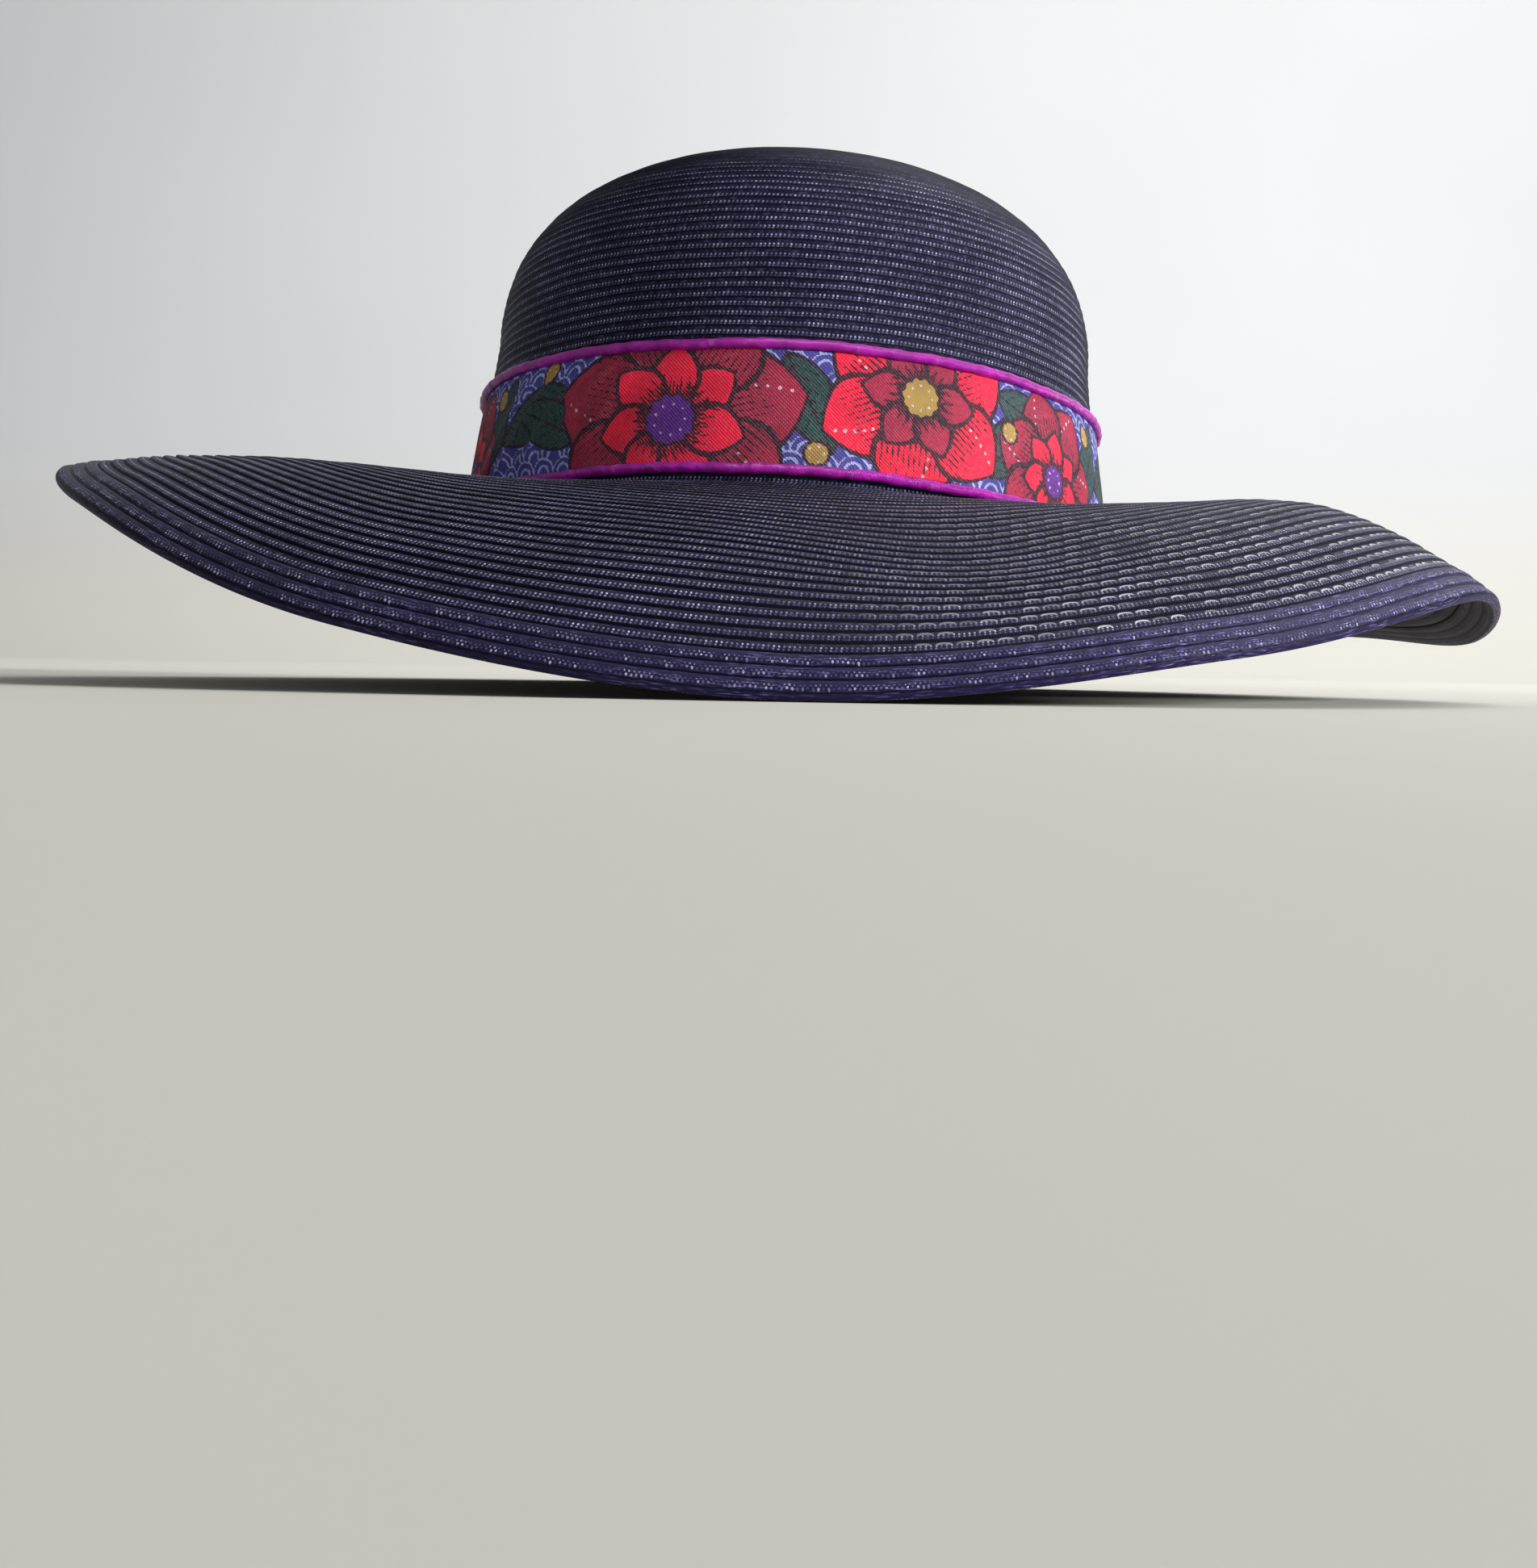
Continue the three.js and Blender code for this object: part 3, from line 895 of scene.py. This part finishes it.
class HATKIT_OT_edge(bpy.types.Operator):
    """Make the doubled rows along the rim"""

    bl_idname = "hatkit.edge"
    bl_label = "Edge"

    def execute(self, context):
        sizes = context.scene.hat_sizes
        colours = context.scene.hat_colours
        columns = sizes.brim_columns
        azimuth = np.arange(columns) / columns * 360
        start = BRIM_WIDTH - EDGE_WIDTH
        marks, relief, row = row_stations(EDGE_ROWS, EDGE_SECTION)
        width = EDGE_WIDTH - RIM_RADIUS
        top = brim_surface(azimuth, start + marks / EDGE_ROWS * width)
        top = lifted(top, relief * sizes.row_rise + 0.25 * MM)
        # The rim turns down round a part circle, from the top rows to the lower ones
        turn = np.radians(np.linspace(60, -90, 7))
        core = brim_surface(azimuth, np.array([BRIM_WIDTH - 2 * RIM_RADIUS, BRIM_WIDTH - RIM_RADIUS]))
        normal = grid_normals(core)[:, 1]
        outward = core[:, 1] - core[:, 0]
        outward /= np.linalg.norm(outward, axis=-1, keepdims=True)
        middle = core[:, 1] - normal * RIM_RADIUS
        bend = (middle[:, None] + outward[:, None] * (np.cos(turn) * RIM_RADIUS)[None, :, None]
                + normal[:, None] * (np.sin(turn) * RIM_RADIUS * 1.25)[None, :, None])
        low_marks, low_relief, low_row = row_stations(EDGE_ROWS, UNDER_SECTION)
        low = brim_surface(azimuth, start + low_marks / EDGE_ROWS * width)
        low = lifted(low, -(STRAW + 0.3 * MM + low_relief * 0.5 * MM))[:, ::-1]
        points = np.concatenate([top, bend, low], 1)
        bend_marks = EDGE_ROWS + np.linspace(0.1, 0.9, len(turn))
        all_marks = np.concatenate([marks, bend_marks, low_marks[::-1], [marks[0]]])
        number = np.concatenate([row, np.full(len(turn), EDGE_ROWS), low_row[::-1]])
        rim_length = ring_steps(bend[:, len(turn) // 2]).sum()
        counts = steps_per_row(np.full(EDGE_ROWS + 1, rim_length), sizes.bead)
        uvs = row_uvs(columns, all_marks, number, counts)
        under = underside_material("straw_edge_under", colours, 0.6)
        piece = make_mesh("edge_rows", points, True, uvs, (edge_material(colours), under),
                          len(marks) + len(turn) - 1)
        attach(piece, "root")
        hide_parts("brim_edge")
        return {"FINISHED"}


class HATKIT_OT_band(bpy.types.Operator):
    """Make the printed cloth band"""

    bl_idname = "hatkit.band"
    bl_label = "Band"

    def execute(self, context):
        sizes = context.scene.hat_sizes
        colours = context.scene.hat_colours
        columns = sizes.band_columns
        azimuth = np.arange(columns) / columns * 360
        height = np.linspace(BAND_LOW, BAND_HIGH, BAND_STATIONS)
        a, z = np.meshgrid(azimuth, height, indexing="ij")
        ring = ring_steps(beside_wall(a, z, np.zeros_like(a)))[:, BAND_STATIONS // 2]
        around = ring.sum() / MM
        arc = np.concatenate([[0], np.cumsum(ring)[:-1]]) / MM
        u = ((arc + around / 2) % around - around / 2)[:, None] + 0 * z
        h = (z - BAND_LOW) / MM
        outer = beside_wall(a, z, GAP + 1.0 * MM + self.folds(u, h))[:, ::-1]
        inner = beside_wall(a, z, np.full_like(a, GAP + 0.1 * MM))[:, ::-1][:, ::BACK_STRIDE][:, ::-1]
        points = np.concatenate([outer, inner], 1)
        up = np.concatenate([h[0, ::-1], h[0, ::BACK_STRIDE], h[0, -1:]])
        uvs = corner_uvs(arc[:, None], np.append(arc[1:], around)[:, None], up[:-1], up[1:])
        piece = make_mesh("band_cloth", points, True, uvs, (print_material(),))
        cloth = band_print(u, h, around / REPEATS, colours)
        self.store(piece.data, cloth, inner.shape[1])
        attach(piece, "root")
        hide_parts("hat_band")
        return {"FINISHED"}

    @staticmethod
    def folds(u, h):
        """Slack of the cloth: a few slanting puckers on one side and a slight swell all round."""
        swell = 0.35 * MM * np.sin(np.pi * h / (BAND_HIGH - BAND_LOW) * MM) ** 0.6
        pucker = np.zeros_like(u)
        for centre, slant, width, depth in (
                (-88, 0.9, 4.5, 1.3), (-77, 1.0, 3.6, 1.6), (-67, 0.8, 3.4, 1.4),
                (-58, 0.9, 3.0, 1.1), (-49, 0.7, 3.2, 0.8), (104, -0.9, 6, 0.5), (118, -0.8, 5, 0.4)):
            across = (u - centre - slant * (h - 14)) / width
            pucker += depth * np.exp(-across ** 2)
        edge = np.clip(np.minimum(h, (BAND_HIGH - BAND_LOW) / MM - h) / 5, 0, 1)
        return swell + pucker * edge * MM

    @staticmethod
    def store(mesh, cloth, inner):
        """Puts the print's fields on the points of the front, and plain values on the back."""
        columns = cloth.u.shape[0]
        pad = np.full((columns, inner), FAR)
        for name in ("line", "dots", "arcs"):
            values = np.concatenate([getattr(cloth, name)[:, ::-1], pad], 1)
            field = mesh.attributes.new(name, "FLOAT", "POINT")
            field.data.foreach_set("value", values.astype(np.float32).ravel())
        plain = np.full((columns, inner, 3), 0.05)
        paint = np.concatenate([cloth.paint[:, ::-1], plain], 1)
        paint = np.concatenate([paint, np.ones(paint.shape[:2] + (1,))], -1)
        colour = mesh.attributes.new("paint", "FLOAT_COLOR", "POINT")
        colour.data.foreach_set("color", paint.astype(np.float32).ravel())


class HATKIT_OT_piping(bpy.types.Operator):
    """Make the two cloth-covered cords"""

    bl_idname = "hatkit.piping"
    bl_label = "Piping"

    def execute(self, context):
        material = cord_material(context.scene.hat_colours)
        for name, node, height, seed in (
                ("cord_upper", "piping_upper", PIPING_HIGH, 3),
                ("cord_lower", "piping_lower", PIPING_LOW, 8)):
            self.cord(name, node, height, seed, material)
        return {"FINISHED"}

    @staticmethod
    def cord(name, node, height, seed, material):
        """Cord round the crown: a round section whose height wanders a little along its way."""
        azimuth = np.arange(CORD_COLUMNS) / CORD_COLUMNS * 360
        turn = np.arange(CORD_STATIONS) / CORD_STATIONS * TURN
        a, t = np.meshgrid(azimuth, turn, indexing="ij")
        rng = np.random.default_rng(seed)
        wander = sum(amount * np.sin(np.radians(azimuth) * k + rng.uniform(0, 6.28))
                     for k, amount in ((5, 0.16), (11, 0.12), (23, 0.07), (41, 0.05)))
        thick = (1 + 0.05 * np.sin(np.radians(azimuth) * 67 + 1.0)
                 + 0.04 * np.sin(np.radians(azimuth) * 113))
        radius = PIPING_RADIUS * thick[:, None]
        level = height + (wander * MM)[:, None]
        distance = GAP + PIPING_RADIUS + radius * np.sin(t)
        ring = beside_wall(a, level + 0 * t, distance)
        ring[..., 2] = level + radius * np.cos(t)
        counts = np.array([round(ring_steps(ring[:, 0]).sum() / MM)])
        marks = np.arange(CORD_STATIONS + 1) / CORD_STATIONS
        uvs = row_uvs(CORD_COLUMNS, marks, np.zeros(CORD_STATIONS, int), counts)
        piece = make_mesh(name, ring, True, uvs, (material,))
        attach(piece, "root")
        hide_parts(node)


def area_light(name, place, aim, size, power):
    """Soft white light at a place, turned towards a point."""
    data = bpy.data.lights.new(name, "AREA")
    data.shape = "RECTANGLE"
    data.size, data.size_y = size
    data.energy = power
    lamp = add_object(name, data)
    lamp.location = place
    lamp.rotation_euler = (Vector(aim) - Vector(place)).to_track_quat("-Z", "Y").to_euler()


class HATKIT_OT_stage(bpy.types.Operator):
    """Make the floor, the backdrop, the lights and the camera"""

    bl_idname = "hatkit.stage"
    bl_label = "Stage"

    def execute(self, context):
        studio = context.scene.hat_studio
        self.floor(studio)
        self.lights(studio)
        self.camera(studio)
        context.scene.view_settings.view_transform = "Standard"
        return {"FINISHED"}

    @staticmethod
    def floor(studio):
        """Level floor that turns up into a backdrop along a quarter circle."""
        turn = np.linspace(0, math.pi / 2, 24)
        reach, bend, far, top = 12.0, 0.9, 1.5, 5.0
        depth = np.concatenate([[-reach], far + bend * np.sin(turn), [far + bend]])
        level = np.concatenate([[0.0], bend - bend * np.cos(turn), [top]])
        across = np.array([-reach, reach])
        points = np.stack([
            np.repeat(across[:, None], len(depth), 1), np.tile(depth, (2, 1)),
            np.tile(level, (2, 1))], -1).reshape(-1, 3)
        j = np.arange(len(depth) - 1)
        faces = np.stack([j, j + len(depth), j + len(depth) + 1, j + 1], -1)
        mesh = bpy.data.meshes.new("floor")
        mesh.from_pydata(points.tolist(), [], faces.tolist())
        mesh.polygons.foreach_set("use_smooth", np.full(len(faces), True))
        n = Nodes("floor_paint")
        place = n.add("ShaderNodeTexCoord").outputs["Object"]
        shade = n.smooth(n.noise(place, 3.0), 0.3, 0.7, 0.0, 0.04)
        rise = n.smooth(n.part(place, 2), 0.0, 0.3)
        paint = n.mix(rise, rgba(studio.floor_colour), rgba(studio.wall_colour))
        n.surface({"Base Color": n.mix(shade, paint, rgba((0.3, 0.3, 0.3))), "Roughness": 0.85})
        mesh.materials.append(n.material)
        mesh.update()
        floor = add_object("floor", mesh)

    @staticmethod
    def lights(studio):
        """Main light from the right, fill in front, two from above, and an even pale sky."""
        middle, backdrop = (0, 0, 0.06), (0.25, 2.4, 0.5)
        for name, place, aim, size, share in (
                ("key", (1.8, -0.95, 0.66), middle, (0.5, 0.5), 1.62),
                ("fill", (-0.2, -2.0, 0.35), middle, (1.4, 0.5), 0.12),
                ("top", (1.2, 0.5, 1.1), middle, (0.9, 0.8), 0.22),
                ("wall", (0.8, 0.9, 1.9), backdrop, (1.6, 1.0), 1.3)):
            area_light(name, place, aim, size, studio.key_power * share)
        world = bpy.data.worlds.new("studio")
        world.use_nodes = True
        sky = world.node_tree.nodes["Background"]
        sky.inputs["Color"].default_value = (0.93, 0.96, 1.0, 1)
        sky.inputs["Strength"].default_value = 0.24
        bpy.context.scene.world = world

    @staticmethod
    def camera(studio):
        """Camera just above the floor, in front of the hat."""
        data = bpy.data.cameras.new("camera")
        data.sensor_width = SENSOR
        data.lens = studio.lens_pixels / max(IMAGE_WIDTH, IMAGE_HEIGHT) * SENSOR
        data.clip_start, data.clip_end = 0.01, 50
        camera = add_object("camera", data)
        camera.location = (CAMERA_ASIDE, -studio.camera_distance, studio.camera_height)
        turn = Matrix.Rotation(math.pi / 2 - studio.camera_aim, 4, "X") @ Matrix.Rotation(
            CAMERA_ROLL, 4, "Z")
        camera.rotation_euler = turn.to_euler()
        bpy.context.scene.camera = camera


class HATKIT_PT_panel(bpy.types.Panel):
    """Lists the operators and their settings."""

    bl_label = "Straw hat"
    bl_idname = "HATKIT_PT_panel"
    bl_space_type = "VIEW_3D"
    bl_region_type = "UI"
    bl_category = "Straw hat"

    def draw(self, context):
        for group in (context.scene.hat_sizes, context.scene.hat_colours, context.scene.hat_studio):
            box = self.layout.box()
            for name in group.__annotations__:
                box.prop(group, name)
        for operator in OPERATORS:
            self.layout.operator(operator.bl_idname)


OPERATORS = (HATKIT_OT_crown, HATKIT_OT_brim, HATKIT_OT_edge, HATKIT_OT_band, HATKIT_OT_piping,
             HATKIT_OT_stage)
CLASSES = (HatSizes, HatColours, HatStudio) + OPERATORS + (HATKIT_PT_panel,)


def register():
    """Registers the classes and hangs the settings on the scene."""
    for item in CLASSES:
        bpy.utils.register_class(item)
    bpy.types.Scene.hat_sizes = PointerProperty(type=HatSizes)
    bpy.types.Scene.hat_colours = PointerProperty(type=HatColours)
    bpy.types.Scene.hat_studio = PointerProperty(type=HatStudio)


def unregister():
    """Takes the settings and the classes away again."""
    del bpy.types.Scene.hat_sizes
    del bpy.types.Scene.hat_colours
    del bpy.types.Scene.hat_studio
    for item in reversed(CLASSES):
        bpy.utils.unregister_class(item)


def main():
    """Makes every piece and the stage."""
    register()
    bpy.ops.hatkit.crown()
    bpy.ops.hatkit.brim()
    bpy.ops.hatkit.edge()
    bpy.ops.hatkit.band()
    bpy.ops.hatkit.piping()
    bpy.ops.hatkit.stage()


if __name__ == "__main__":
    main()
